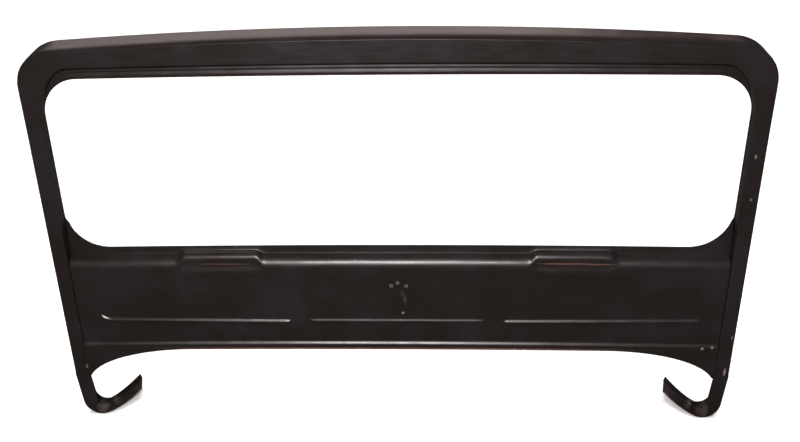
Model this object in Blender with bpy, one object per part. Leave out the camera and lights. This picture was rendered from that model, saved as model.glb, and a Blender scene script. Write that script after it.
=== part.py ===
"""Pressed-steel windshield frame for a small off-road vehicle.

Each welded stamping, plate and weld nut is its own closed body. Metres, +Z up, cabin side toward -Y,
vehicle forward toward +Y. The last step moves the whole frame so its bounding box is centred on zero.
"""

import math

import bmesh
import bpy
from mathutils import Vector

# Sheet gauges and clearances
SKIN = 0.0012
PLATE = 0.0015
FOOT_GAUGE = 0.0020
HINGE_GAUGE = 0.0030
GAP = 0.0003

# Outer outline of the hoop, measured at the middle of the frame
HALF_WIDTH = 0.7395
SIDE_TAPER = math.tan(math.radians(1.0))
TOP_HEIGHT = 0.3960
TOP_CROWN = 0.0512
OUTER_RADIUS = 0.085

# Window opening, at the glass flange
PILLAR_WIDTH = 0.0370
WINDOW_TOP = 0.3047
WINDOW_TOP_CROWN = 0.0123
WINDOW_BOTTOM = -0.0664
WINDOW_BOTTOM_CROWN = 0.0114
WINDOW_TOP_RADIUS = 0.075
WINDOW_BOTTOM_RADIUS = 0.085
FLANGE_DEPTH = 0.0220
FRAME_DEPTH = 0.0455

# Where the hoop is split into header and pillars, and where the pillars end
PILLAR_TOP = 0.200
PILLAR_BOTTOM = -0.378
LIP_END = 0.0
LIP_FADE = 0.030

# Corner where the header's section turns into the pillar's, in steps of a quarter turn
CORNER_STEPS = 12
BLEND_START = 2.0
BLEND_STEPS = 10.0

# Lower panel, from the glass flange down over the shelf and the crease
SHELF_DROP = 0.0165
SHELF_DEPTH = 0.0198
CREASE = -0.0960
CREASE_CROWN = 0.0107
CREASE_RADIUS = 0.028
RIB_CENTRE = -0.2393
RIB_INNER = -0.2415
RIB_OUTER = -0.2378
RIB_FLARE = 0.0085
RIB_FLARE_RUN = 0.016
RIB_HALF_HEIGHT = 0.0055
RIB_RISE = 0.0030
CENTRE_RIB_SHARE = 0.6
SIDE_RIB_START = 0.2385
SIDE_RIB_END = 0.6470
CENTRE_RIB_END = 0.1850
RIB_END_TAPER = 0.010
STEP = -0.2919
STEP_CROWN = 0.0115
STEP_RISE = 0.0045
STEP_HALF_HEIGHT = 0.0035
LOWER_EDGE = -0.3076
LOWER_EDGE_CROWN = 0.0100
ARCH_START = 0.460
ARCH_RUN = 0.245
ARCH_DROP = 0.085
WEB_RISE = 0.0125
SIDE_RETURN = 0.006
SIDE_RETURN_LIMIT = 0.0200
SIDE_RETURN_INSET = 0.0014
SIDE_STRIP = 0.0016
PANEL_LAP = 0.0354
SEAM = 0.0006

# Defroster recesses, where the crease steps up and the face below it is set back
DEFROSTER_START = 0.299
DEFROSTER_END = 0.451
DEFROSTER_TAPER = 0.020
DEFROSTER_LIFT = 0.0148
DEFROSTER_DEPTH = 0.0035
DEFROSTER_SHELF_DROP = 0.0088
DEFROSTER_RADIUS = 0.016
LEDGE_TOP = 0.0060
LEDGE_MIDDLE = 0.0140
LEDGE_BOTTOM = 0.0240

# Feet that curl inward and forward at the bottom of each pillar
FOOT_BEND_X = 0.685
FOOT_BEND_Z = -0.448
FOOT_BEND_RADIUS = 0.040
FOOT_FACE = 0.0345
FOOT_LIP = 0.0040
FOOT_FLANGE = 0.0140
FOOT_ARM = 0.066
FOOT_ARM_RISE = math.radians(17.0)
FOOT_FORWARD = 0.070
FOOT_FORWARD_EARLY = 0.25
FOOT_SKEW = 0.012
FOOT_CORNER = 0.0035
FOOT_BEND_START = math.radians(4.0)
FOOT_NARROWING_START = math.radians(15.0)
FOOT_NARROWING_RUN = math.radians(70.0)

# Channels and plates between the skins
CHANNEL_DEPTH = 0.012
HEADER_CHANNEL_HALF_LENGTH = 0.45
HEADER_CHANNEL_HEIGHTS = (0.3410, 0.3630)
PILLAR_CHANNEL_HEIGHTS = (-0.330, 0.185)
PILLAR_CHANNEL_REACHES = (0.0085, 0.0280)
GUSSET_OUTER_MARGIN = 0.018
GUSSET_OUTER_TURNS = (math.radians(12.0), math.radians(76.0))
GUSSET_INNER_TURNS = (math.radians(70.0), math.radians(12.0))
GUSSET_INNER_MARGINS = (0.036, 0.014)
GUSSET_STEPS = 7
DOUBLER_REACHES = (0.012, 0.010)
DOUBLER_HEIGHTS = (0.030, 0.028)
DOUBLER_CHAMFER = 0.003

# Hardware
HINGE_BOLT_X = 0.648
HINGE_BOLT_HEIGHTS = (-0.205, -0.275)
HINGE_BOLT_RADIUS = 0.0045
HINGE_PLATE_HALF_WIDTH = 0.036
HINGE_PLATE_MARGIN = 0.024
HINGE_PLATE_CHAMFER = 0.006
HINGE_NUT_RADIUS = 0.0085
HINGE_NUT_HEIGHT = 0.0080
SCREW_HOLES = ((-0.0112, -0.1524), (0.0030, -0.1451), (0.0210, -0.1523))
SCREW_RADIUS = 0.0022
SCREW_NUT_RADIUS = 0.0050
SCREW_NUT_HEIGHT = 0.0040
SCREW_PLATE_HALF_WIDTH = 0.0275
SCREW_PLATE_HEIGHTS = (-0.164, -0.133)
SCREW_PLATE_CHAMFER = 0.004
NUT_SEGMENTS = 24
DRILL_SEGMENTS = 20
DRILL_LENGTH = 0.4
SHARP_ANGLE = math.radians(35.0)


def clear_scene():
    """Remove the objects of the startup scene."""
    for item in list(bpy.data.objects):
        bpy.data.objects.remove(item, do_unlink=True)


def smooth_step(value):
    """Ease from 0 to 1 as value goes from 0 to 1."""
    value = min(max(value, 0.0), 1.0)
    return value * value * (3.0 - 2.0 * value)


def mix(first, second, amount):
    """Blend two numbers."""
    return first + (second - first) * amount


def spread(first, last, count):
    """Evenly spaced numbers including both ends."""
    return [mix(first, last, i / (count - 1)) for i in range(count)]


def make_material(name, colour, roughness, metallic):
    """A Principled material of one colour."""
    material = bpy.data.materials.new(name)
    material.use_nodes = True
    shader = material.node_tree.nodes["Principled BSDF"]
    shader.inputs["Base Color"].default_value = (*colour, 1.0)
    shader.inputs["Roughness"].default_value = roughness
    shader.inputs["Metallic"].default_value = metallic
    return material


def add_object(name, mesh, look):
    """Link a mesh as a named object with its own material."""
    item = bpy.data.objects.new(name, mesh)
    bpy.context.scene.collection.objects.link(item)
    mesh.materials.append(make_material(name + "_paint", *look))
    return item


def add_sheet(name, rows, gauge, look, flip=False):
    """A closed sheet body whose outside surface passes through the rows of points."""
    form = bmesh.new()
    grid = [[form.verts.new(point) for point in row] for row in rows]
    for upper, lower in zip(grid, grid[1:]):
        for i in range(len(upper) - 1):
            form.faces.new((upper[i], upper[i + 1], lower[i + 1], lower[i]))
    if flip:
        bmesh.ops.reverse_faces(form, faces=form.faces[:])
    mesh = bpy.data.meshes.new(name)
    form.to_mesh(mesh)
    form.free()
    item = add_object(name, mesh, look)
    mesh.shade_smooth()
    mesh.set_sharp_from_angle(angle=SHARP_ANGLE)
    thick = item.modifiers.new("gauge", "SOLIDIFY")
    thick.thickness = gauge
    thick.offset = -1.0
    thick.use_even_offset = True
    return item


def add_plate(name, outline, near, far, look):
    """A flat plate: an outline in X and Z, between two depths."""
    form = bmesh.new()
    ring = [form.verts.new((x, near, z)) for x, z in outline]
    face = form.faces.new(ring)
    grown = bmesh.ops.extrude_face_region(form, geom=[face])
    lifted = [part for part in grown["geom"] if isinstance(part, bmesh.types.BMVert)]
    bmesh.ops.translate(form, verts=lifted, vec=(0.0, far - near, 0.0))
    bmesh.ops.recalc_face_normals(form, faces=form.faces[:])
    mesh = bpy.data.meshes.new(name)
    form.to_mesh(mesh)
    form.free()
    return add_object(name, mesh, look)


def add_nut(name, centre, near, height, radius, bore, look):
    """A hexagonal weld nut with its bore along Y."""
    form = bmesh.new()
    rings = []
    half_side = math.pi / 6.0
    for depth in (near, near + height):
        for size, hexagonal in ((radius, True), (bore, False)):
            ring = []
            for i in range(NUT_SEGMENTS):
                turn = 2.0 * math.pi * i / NUT_SEGMENTS
                reach = size
                if hexagonal:
                    reach *= math.cos(half_side) / math.cos((turn % (2.0 * half_side)) - half_side)
                point = (centre[0] + reach * math.cos(turn), depth, centre[1] + reach * math.sin(turn))
                ring.append(form.verts.new(point))
            rings.append(ring)
    outer_near, bore_near, outer_far, bore_far = rings
    for first, second in (
        (outer_near, bore_near),
        (bore_near, bore_far),
        (bore_far, outer_far),
        (outer_far, outer_near),
    ):
        for i in range(NUT_SEGMENTS):
            j = (i + 1) % NUT_SEGMENTS
            form.faces.new((first[i], first[j], second[j], second[i]))
    bmesh.ops.recalc_face_normals(form, faces=form.faces[:])
    mesh = bpy.data.meshes.new(name)
    form.to_mesh(mesh)
    form.free()
    item = add_object(name, mesh, look)
    mesh.shade_smooth()
    mesh.set_sharp_from_angle(angle=SHARP_ANGLE)
    return item


def drill(item, holes, radius):
    """Cut round holes along Y through an object."""
    for number, (x, z) in enumerate(holes):
        bpy.ops.mesh.primitive_cylinder_add(
            vertices=DRILL_SEGMENTS,
            radius=radius,
            depth=DRILL_LENGTH,
            location=(x, 0.0, z),
            rotation=(math.pi / 2.0, 0.0, 0.0),
        )
        cutter = bpy.context.object
        cutter.name = "{}_drill_{}".format(item.name, number)
        cutter.hide_render = True
        cutter.display_type = "WIRE"
        cut = item.modifiers.new("hole", "BOOLEAN")
        cut.operation = "DIFFERENCE"
        cut.solver = "EXACT"
        cut.object = cutter


def outer_side(z):
    """Half width of the frame at a height."""
    return HALF_WIDTH + SIDE_TAPER * z


def header_top(x):
    """Height of the frame's top edge."""
    return TOP_HEIGHT - TOP_CROWN * x * x


def window_top(x):
    """Height of the top of the window opening."""
    return WINDOW_TOP - WINDOW_TOP_CROWN * x * x


def hoop_corner():
    """Centres of the outer and window corner arcs, at the top."""
    corner_height = header_top(HALF_WIDTH - OUTER_RADIUS) - OUTER_RADIUS
    outer_x = outer_side(corner_height) - OUTER_RADIUS
    outer_z = header_top(outer_x) - OUTER_RADIUS
    inner_x = outer_side(WINDOW_TOP - WINDOW_TOP_RADIUS) - PILLAR_WIDTH - WINDOW_TOP_RADIUS
    inner_z = window_top(inner_x) - WINDOW_TOP_RADIUS
    return (outer_x, outer_z), (inner_x, inner_z)


def header_path():
    """Matching outer and window points round the top of the hoop, for the right half from the split up."""
    (outer_x, outer_z), (inner_x, inner_z) = hoop_corner()
    start = PILLAR_TOP + GAP
    path = [((outer_side(start), start), (outer_side(start) - PILLAR_WIDTH, start), 0.0)]
    for i in range(CORNER_STEPS + 1):
        turn = 0.5 * math.pi * i / CORNER_STEPS
        outer = (outer_x + OUTER_RADIUS * math.cos(turn), outer_z + OUTER_RADIUS * math.sin(turn))
        inner = (inner_x + WINDOW_TOP_RADIUS * math.cos(turn), inner_z + WINDOW_TOP_RADIUS * math.sin(turn))
        path.append((outer, inner, smooth_step((i - BLEND_START) / BLEND_STEPS)))
    for x in spread(1.0, 0.0, 8)[1:]:
        outer = (outer_x * x, header_top(outer_x * x))
        inner = (inner_x * x, window_top(inner_x * x))
        path.append((outer, inner, 1.0))
    return path


def full_header_path():
    """The header path from the right split, over the top, to the left split."""
    half = header_path()
    mirrored = [((-o[0], o[1]), (-i[0], i[1]), h) for o, i, h in reversed(half[:-1])]
    return half + mirrored


def pillar_path():
    """Matching outer and window points down the right pillar."""
    heights = [PILLAR_TOP, 0.10, LIP_END, LIP_END - 0.5 * LIP_FADE, LIP_END - LIP_FADE]
    heights += [-0.16, -0.27, PILLAR_BOTTOM]
    return [((outer_side(z), z), (outer_side(z) - PILLAR_WIDTH, z), 0.0) for z in heights]


def lip_amount(z):
    """1 where the pillar carries the window lip, 0 below the window."""
    return smooth_step((z - LIP_END + LIP_FADE) / LIP_FADE)


def section_points(outer, inner, stations):
    """Place (distance from the outer edge, depth) stations between an outer and a window point."""
    start = Vector((outer[0], 0.0, outer[1]))
    across = Vector((inner[0], 0.0, inner[1])) - start
    width = across.length
    across.normalize()
    points = []
    for near, from_window, depth in stations:
        reach = width - from_window if near is None else near
        points.append(start + across * reach + Vector((0.0, depth, 0.0)))
    return points


def inner_stations(header, lip):
    """Cabin-side section: top or side wall, face, return and tilted glass flange.

    Each row below holds the reach on a pillar, the reach on the header, and the two depths.
    """
    end = mix(0.0026, 0.0, lip)
    near = [
        (0.0, 0.0, FRAME_DEPTH - SKIN - GAP, FRAME_DEPTH - SKIN - 2.0 * GAP),
        (0.0002, 0.0092, 0.0062, 0.0110),
        (0.0005, 0.0114, 0.0045, 0.0062),
        (0.0010, 0.0136, 0.0031, 0.0030),
        (0.0024, 0.0155, 0.0011, 0.0010),
        (0.0058, 0.0174, 0.0, 0.0),
    ]
    far = [
        (0.0068, 0.0318, 0.0, 0.0),
        (0.0042, 0.0290, 0.0011, 0.0008),
        (0.0033, 0.0282, 0.0036, 0.0040),
        (0.0030, 0.0278, 0.0110, 0.0190),
        (0.0029, 0.0262, 0.0170, 0.0216),
        (0.0027, 0.0060, 0.0205, 0.0192),
        (end + 0.0006 * (1.0 - lip), 0.0024, 0.0214, 0.0208),
        (end, 0.0, FLANGE_DEPTH, FLANGE_DEPTH),
    ]
    stations = []
    for pillar_reach, header_reach, pillar_depth, header_depth in near:
        reach = mix(pillar_reach, header_reach, header)
        stations.append((reach, None, mix(pillar_depth, header_depth, header)))
    for pillar_reach, header_reach, pillar_depth, header_depth in far:
        reach = mix(pillar_reach, header_reach, header)
        stations.append((None, reach, mix(pillar_depth, header_depth, header)))
    return stations


def outer_stations(header, lip):
    """Forward-side section: flat lid, chamfer and glass flange."""
    flange = mix(FRAME_DEPTH, FLANGE_DEPTH + 2.0 * SKIN + GAP, lip)
    return [
        (0.0002, None, FRAME_DEPTH),
        (0.0060, None, FRAME_DEPTH),
        (None, mix(0.0220, 0.0420, header), FRAME_DEPTH),
        (None, mix(0.0195, 0.0380, header), mix(FRAME_DEPTH, FRAME_DEPTH - 0.0012, lip)),
        (None, mix(0.0085, 0.0120, header), mix(FRAME_DEPTH, flange + 0.0018, lip)),
        (None, mix(0.0062, 0.0080, header), flange),
        (None, 0.0, flange),
    ]


def mirror_points(rows):
    """Mirror rows of points to the left side."""
    return [[Vector((-p.x, p.y, p.z)) for p in row] for row in rows]


def build_hoop(look):
    """Header and pillars, each with a cabin-side and a forward-side skin."""
    header = full_header_path()
    rows = [section_points(o, i, inner_stations(h, 1.0)) for o, i, h in header]
    add_sheet("header_inner", rows, SKIN, look, flip=True)
    rows = [section_points(o, i, outer_stations(h, 1.0)) for o, i, h in header]
    add_sheet("header_outer", rows, SKIN, look)
    pillar = pillar_path()
    rows = [section_points(o, i, inner_stations(h, lip_amount(o[1]))) for o, i, h in pillar]
    add_sheet("pillar_inner_right", rows, SKIN, look)
    add_sheet("pillar_inner_left", mirror_points(rows), SKIN, look, flip=True)
    rows = [section_points(o, i, outer_stations(h, lip_amount(o[1]))) for o, i, h in pillar]
    add_sheet("pillar_outer_right", rows, SKIN, look, flip=True)
    add_sheet("pillar_outer_left", mirror_points(rows), SKIN, look)


def panel_side(z):
    """Half width of the lower panel, just inside the pillar wall."""
    return outer_side(z) - mix(PANEL_LAP, PILLAR_WIDTH + SEAM, lip_amount(z))


def window_corner():
    """Distance from the middle to where the window's lower corners begin."""
    return outer_side(0.0) - PILLAR_WIDTH - WINDOW_BOTTOM_RADIUS


def window_sill(x):
    """Height of the window's lower edge, without its rounded corners."""
    return WINDOW_BOTTOM - WINDOW_BOTTOM_CROWN * min(abs(x), window_corner()) ** 2


def window_bottom(x):
    """Height of the window's lower edge, with its rounded corners."""
    across = min(max(abs(x) - window_corner(), 0.0), WINDOW_BOTTOM_RADIUS)
    return window_sill(x) + WINDOW_BOTTOM_RADIUS - math.sqrt(WINDOW_BOTTOM_RADIUS**2 - across**2)


def panel_bottom(x):
    """Height of the panel's lower edge, with the arch down to each foot."""
    x = abs(x)
    edge = LOWER_EDGE - LOWER_EDGE_CROWN * x * x
    along = min(max((x - ARCH_START) / ARCH_RUN, 0.0), 1.0)
    return edge - ARCH_DROP * (1.0 - math.sqrt(1.0 - along * along))


def plateau(x, start, end, taper):
    """1 between start and end, easing to 0 over the taper outside them."""
    rise = smooth_step((x - start + taper) / taper)
    fall = smooth_step((end + taper - x) / taper)
    return rise * fall


def panel_columns(featured):
    """Fractions of the panel's half width, closer together at features and at the corners."""
    half = panel_side(0.0)
    marks = [0.0, 0.1, 0.2, 0.3, 0.4]
    if featured:
        marks = [0.0, 0.09, CENTRE_RIB_END, CENTRE_RIB_END + RIB_END_TAPER]
        marks += [SIDE_RIB_START - RIB_END_TAPER, SIDE_RIB_START]
        marks += [DEFROSTER_START - DEFROSTER_TAPER, DEFROSTER_START, 0.34, 0.41]
        marks += [DEFROSTER_END, DEFROSTER_END + DEFROSTER_TAPER]
    marks += [0.515, 0.550, 0.580, 0.605, 0.625, SIDE_RIB_END]
    marks += [SIDE_RIB_END + RIB_END_TAPER, 0.668, 0.677, 0.685, 0.691, 0.696, half - SIDE_STRIP, half]
    right = [mark / half for mark in marks]
    return [-share for share in reversed(right[1:])] + right


def column_place(share):
    """Where a column samples the panel's outline: the last strip at each side runs straight."""
    half = panel_side(0.0)
    return math.copysign(min(abs(share) * half, half - SIDE_STRIP), share)


def rib_height(x):
    """Height of the middle of the rib at one place across the panel. The left rib turns up at its end."""
    across = abs(x)
    if across < 0.5 * (CENTRE_RIB_END + SIDE_RIB_START):
        return RIB_CENTRE
    height = mix(RIB_INNER, RIB_OUTER, (across / SIDE_RIB_END) ** 2)
    if x < 0.0:
        height += RIB_FLARE * smooth_step((across - SIDE_RIB_END + RIB_END_TAPER) / RIB_FLARE_RUN)
    return height


def inner_panel_column(share):
    """(height, depth) points of the cabin-side panel down one column."""
    x = column_place(share)
    across = abs(x)
    top = window_bottom(x)
    recess = plateau(across, DEFROSTER_START, DEFROSTER_END, DEFROSTER_TAPER)
    back = DEFROSTER_DEPTH * recess
    crease = CREASE - CREASE_CROWN * x * x
    corner = crease + DEFROSTER_LIFT * recess
    shelf = window_sill(x) - mix(SHELF_DROP, DEFROSTER_SHELF_DROP, recess)
    slope = math.atan2(SHELF_DEPTH - back, shelf - corner)
    radius = mix(CREASE_RADIUS, DEFROSTER_RADIUS, recess)
    centre = corner - radius * math.tan(0.5 * slope)
    points = [
        (top, FLANGE_DEPTH),
        (mix(top, shelf, 0.7), FLANGE_DEPTH - 0.0006),
        (shelf, SHELF_DEPTH),
    ]
    for turn in spread(slope, 0.0, 5):
        points.append((centre + radius * math.sin(turn), back + radius * (1.0 - math.cos(turn))))
    rib = rib_height(x)
    side_rib = plateau(across, SIDE_RIB_START, SIDE_RIB_END, RIB_END_TAPER)
    centre_rib = plateau(across, 0.0, CENTRE_RIB_END, RIB_END_TAPER)
    rise = RIB_RISE * max(side_rib, CENTRE_RIB_SHARE * centre_rib)
    step = STEP - STEP_CROWN * x * x
    bottom = panel_bottom(x)
    points += [
        (mix(centre - 0.0030, crease - LEDGE_TOP, recess), back),
        (mix(centre - 0.0060, crease - LEDGE_MIDDLE, recess), 0.5 * back),
        (crease - LEDGE_BOTTOM, 0.0),
        (rib + 2.0 * RIB_HALF_HEIGHT, 0.0),
        (rib + RIB_HALF_HEIGHT, 0.0),
        (rib + 0.5 * RIB_HALF_HEIGHT, -0.75 * rise),
        (rib, -rise),
        (rib - 0.5 * RIB_HALF_HEIGHT, -0.75 * rise),
        (rib - RIB_HALF_HEIGHT, 0.0),
        (step + 2.0 * STEP_HALF_HEIGHT, 0.0),
        (step + STEP_HALF_HEIGHT, -0.08 * STEP_RISE),
        (step, -0.5 * STEP_RISE),
        (step - STEP_HALF_HEIGHT, -0.92 * STEP_RISE),
        (step - 2.0 * STEP_HALF_HEIGHT, -STEP_RISE),
        (bottom, -STEP_RISE),
    ]
    return points


def outer_panel_column(share):
    """(height, depth) points of the forward-side panel down one column."""
    x = column_place(share)
    top = window_bottom(x)
    bottom = panel_bottom(x)
    flange = FLANGE_DEPTH + 2.0 * (SKIN + GAP)
    seam = 2.0 * SKIN + GAP - STEP_RISE
    return [
        (top, flange),
        (top - 0.0050, flange),
        (top - 0.0075, flange + 0.0012),
        (top - 0.0270, FRAME_DEPTH - 0.0012),
        (top - 0.0310, FRAME_DEPTH),
        (-0.200, FRAME_DEPTH),
        (bottom + WEB_RISE + 0.0060, FRAME_DEPTH),
        (bottom + WEB_RISE + 0.0015, FRAME_DEPTH - 0.0015),
        (bottom + WEB_RISE, FRAME_DEPTH - 0.0055),
        (bottom + WEB_RISE, seam + 0.0060),
        (bottom + WEB_RISE - 0.0010, seam + 0.0022),
        (bottom + WEB_RISE - 0.0040, seam + 0.0004),
        (bottom + WEB_RISE - 0.0070, seam),
        (bottom, seam),
    ]


def build_panel_rows(column_points, side_of, featured):
    """Turn columns of (height, depth) points into columns placed across the panel."""
    rows = []
    for share in panel_columns(featured):
        rows.append([Vector((share * side_of(z), depth, z)) for z, depth in column_points(share)])
    return rows


def add_side_returns(rows):
    """Fold the side edges of the cabin-side panel back along the pillar walls."""
    folded = []
    for edge in (rows[0], rows[-1]):
        back = []
        for point in edge:
            depth = max(0.0, min(SIDE_RETURN, SIDE_RETURN_LIMIT - point.y))
            back.append(Vector((point.x, point.y + depth + GAP, point.z)))
        folded.append(back)
    for edge in (rows[0], rows[-1]):
        for point in edge:
            point.x -= math.copysign(SIDE_RETURN_INSET, point.x)
    return [folded[0]] + rows + [folded[1]]


def build_lower_panels(look):
    """Cabin-side and forward-side skins below the window."""
    rows = build_panel_rows(inner_panel_column, panel_side, True)
    inner = add_sheet("lower_inner_panel", rows, SKIN, look)
    drill(inner, SCREW_HOLES, SCREW_RADIUS)

    def outer_side_of(z):
        return outer_side(z) - PILLAR_WIDTH - SEAM

    rows = build_panel_rows(outer_panel_column, outer_side_of, False)
    outer = add_sheet("lower_outer_panel", rows, SKIN, look, flip=True)
    bolts = [(side * HINGE_BOLT_X, z) for side in (-1.0, 1.0) for z in HINGE_BOLT_HEIGHTS]
    drill(outer, bolts, HINGE_BOLT_RADIUS)


def foot_path():
    """Front edge of the right foot: position, turn of the curl, and share of the arm."""
    start_z = PILLAR_BOTTOM - GAP
    bend_end = math.radians(90.0) + FOOT_ARM_RISE
    stops = []
    bend_top = Vector(
        (
            FOOT_BEND_X + FOOT_BEND_RADIUS * math.cos(FOOT_BEND_START),
            0.0,
            FOOT_BEND_Z - FOOT_BEND_RADIUS * math.sin(FOOT_BEND_START),
        )
    )
    leg_top = Vector((outer_side(start_z), 0.0, start_z))
    for share in spread(0.0, 1.0, 4)[:-1]:
        point = leg_top.lerp(bend_top, share)
        turn = FOOT_BEND_START * share
        stops.append((point, turn, 0.0))
    for share in spread(0.0, 1.0, 13):
        turn = mix(FOOT_BEND_START, bend_end, share)
        x = FOOT_BEND_X + FOOT_BEND_RADIUS * math.cos(turn)
        z = FOOT_BEND_Z - FOOT_BEND_RADIUS * math.sin(turn)
        stops.append((Vector((x, 0.0, z)), turn, 0.0))
    last = stops[-1][0]
    for share in spread(0.0, 1.0, 6)[1:]:
        reach = FOOT_ARM * share
        step = Vector((-math.cos(FOOT_ARM_RISE) * reach, 0.0, math.sin(FOOT_ARM_RISE) * reach))
        stops.append((last + step, bend_end, share))
    return stops


def build_feet(look):
    """Feet: a channel that narrows, curls inward and sweeps forward."""
    stops = foot_path()
    rows = []
    for point, turn, arm in stops:
        curl = smooth_step((turn - FOOT_NARROWING_START) / FOOT_NARROWING_RUN)
        face = mix(FOOT_FACE, FOOT_LIP, curl)
        inward = Vector((-math.cos(turn), 0.0, math.sin(turn)))
        forward = FOOT_FORWARD * mix(arm * arm, arm, FOOT_FORWARD_EARLY)
        front = point + Vector((0.0, forward, 0.0))
        skew = Vector((FOOT_SKEW * arm, 0.0, 0.0))
        back = front + skew + Vector((0.0, FRAME_DEPTH, 0.0))
        corner = FOOT_CORNER
        side = (back - front).normalized()
        rows.append(
            [
                front + inward * face,
                front + inward * corner,
                front + inward * (0.3 * corner) + side * (0.3 * corner),
                front + side * corner,
                front.lerp(back, 0.5),
                back - side * corner,
                back + inward * (0.3 * corner) - side * (0.3 * corner),
                back + inward * corner,
                back + inward * FOOT_FLANGE,
            ]
        )
    add_sheet("foot_right", rows, FOOT_GAUGE, look, flip=True)
    add_sheet("foot_left", mirror_points(rows), FOOT_GAUGE, look)


def box_outline(low_x, high_x, low_z, high_z, chamfer):
    """A rectangle with cut corners, in X and Z."""
    return [
        (low_x + chamfer, low_z),
        (high_x - chamfer, low_z),
        (high_x, low_z + chamfer),
        (high_x, high_z - chamfer),
        (high_x - chamfer, high_z),
        (low_x + chamfer, high_z),
        (low_x, high_z - chamfer),
        (low_x, low_z + chamfer),
    ]


def build_channels(look):
    """Open channels behind the header face and inside each pillar."""
    near = SKIN + GAP
    depth = near + CHANNEL_DEPTH
    low, high = HEADER_CHANNEL_HEIGHTS
    section = ((depth, low), (near, low), (near, high), (depth, high))
    places = spread(-HEADER_CHANNEL_HALF_LENGTH, HEADER_CHANNEL_HALF_LENGTH, 9)
    rows = [[Vector((x, y, z)) for y, z in section] for x in places]
    add_sheet("header_reinforcement", rows, PLATE, look, flip=True)
    outer, inner = PILLAR_CHANNEL_REACHES
    section = ((outer, depth), (outer, near), (inner, near), (inner, depth))
    rows = []
    for z in spread(*PILLAR_CHANNEL_HEIGHTS, 6):
        rows.append([Vector((outer_side(z) - reach, y, z)) for reach, y in section])
    add_sheet("pillar_reinforcement_right", rows, PLATE, look, flip=True)
    add_sheet("pillar_reinforcement_left", mirror_points(rows), PLATE, look)


def arc_points(centre, turns, reaches):
    """Points round a centre, from one turn to another, while the reach changes evenly."""
    points = []
    for share in spread(0.0, 1.0, GUSSET_STEPS):
        turn = mix(turns[0], turns[1], share)
        reach = mix(reaches[0], reaches[1], share)
        points.append((centre[0] + reach * math.cos(turn), centre[1] + reach * math.sin(turn)))
    return points


def build_corner_plates(look):
    """Gussets in the upper corners and doublers over the foot joints."""
    near = SKIN + GAP
    outer_centre, inner_centre = hoop_corner()
    outer_reach = OUTER_RADIUS - GUSSET_OUTER_MARGIN
    gusset = arc_points(outer_centre, GUSSET_OUTER_TURNS, (outer_reach, outer_reach))
    inner_reaches = [WINDOW_TOP_RADIUS + margin for margin in GUSSET_INNER_MARGINS]
    gusset += arc_points(inner_centre, GUSSET_INNER_TURNS, inner_reaches)
    middle = outer_side(PILLAR_BOTTOM) - 0.5 * FOOT_FACE
    doubler = box_outline(
        middle - DOUBLER_REACHES[0],
        middle + DOUBLER_REACHES[1],
        PILLAR_BOTTOM - DOUBLER_HEIGHTS[0],
        PILLAR_BOTTOM + DOUBLER_HEIGHTS[1],
        DOUBLER_CHAMFER,
    )
    start = FOOT_GAUGE + GAP
    for name, sign in (("right", 1.0), ("left", -1.0)):
        outline = [(sign * x, z) for x, z in gusset]
        add_plate("corner_gusset_" + name, outline, near, near + PLATE, look)
        outline = [(sign * x, z) for x, z in doubler]
        add_plate("foot_doubler_" + name, outline, start, start + PLATE, look)


def build_hardware(plate_look, nut_look):
    """Hinge plates, screw plate and weld nuts."""
    plate_far = FRAME_DEPTH - SKIN - GAP
    plate_near = plate_far - HINGE_GAUGE
    low = min(HINGE_BOLT_HEIGHTS) - HINGE_PLATE_MARGIN
    high = max(HINGE_BOLT_HEIGHTS) + HINGE_PLATE_MARGIN
    for name, sign in (("right", 1.0), ("left", -1.0)):
        middle = sign * HINGE_BOLT_X
        outline = box_outline(
            middle - HINGE_PLATE_HALF_WIDTH, middle + HINGE_PLATE_HALF_WIDTH, low, high, HINGE_PLATE_CHAMFER
        )
        plate = add_plate("hinge_plate_" + name, outline, plate_near, plate_far, plate_look)
        drill(plate, [(middle, z) for z in HINGE_BOLT_HEIGHTS], HINGE_BOLT_RADIUS)
        for place, z in zip(("upper", "lower"), HINGE_BOLT_HEIGHTS):
            nut_near = plate_near - GAP - HINGE_NUT_HEIGHT
            add_nut(
                "hinge_nut_{}_{}".format(place, name),
                (middle, z),
                nut_near,
                HINGE_NUT_HEIGHT,
                HINGE_NUT_RADIUS,
                HINGE_BOLT_RADIUS,
                nut_look,
            )
    near = SKIN + GAP
    half = SCREW_PLATE_HALF_WIDTH
    outline = box_outline(-half, half, *SCREW_PLATE_HEIGHTS, SCREW_PLATE_CHAMFER)
    plate = add_plate("screw_plate", outline, near, near + PLATE, plate_look)
    drill(plate, SCREW_HOLES, SCREW_RADIUS)
    for place, centre in zip(("left", "middle", "right"), SCREW_HOLES):
        add_nut(
            "screw_nut_" + place,
            centre,
            near + PLATE + GAP,
            SCREW_NUT_HEIGHT,
            SCREW_NUT_RADIUS,
            SCREW_RADIUS,
            nut_look,
        )


def centre_everything():
    """Move every object so the bounding box of the whole frame is centred on the origin."""
    bpy.context.view_layer.update()
    lows = [math.inf] * 3
    highs = [-math.inf] * 3
    shown = [item for item in bpy.data.objects if not item.hide_render]
    graph = bpy.context.evaluated_depsgraph_get()
    for item in shown:
        mesh = item.evaluated_get(graph).to_mesh()
        for vertex in mesh.vertices:
            for axis in range(3):
                lows[axis] = min(lows[axis], vertex.co[axis])
                highs[axis] = max(highs[axis], vertex.co[axis])
    middle = Vector([(low + high) / 2.0 for low, high in zip(lows, highs)])
    for item in bpy.data.objects:
        item.location -= middle


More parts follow.
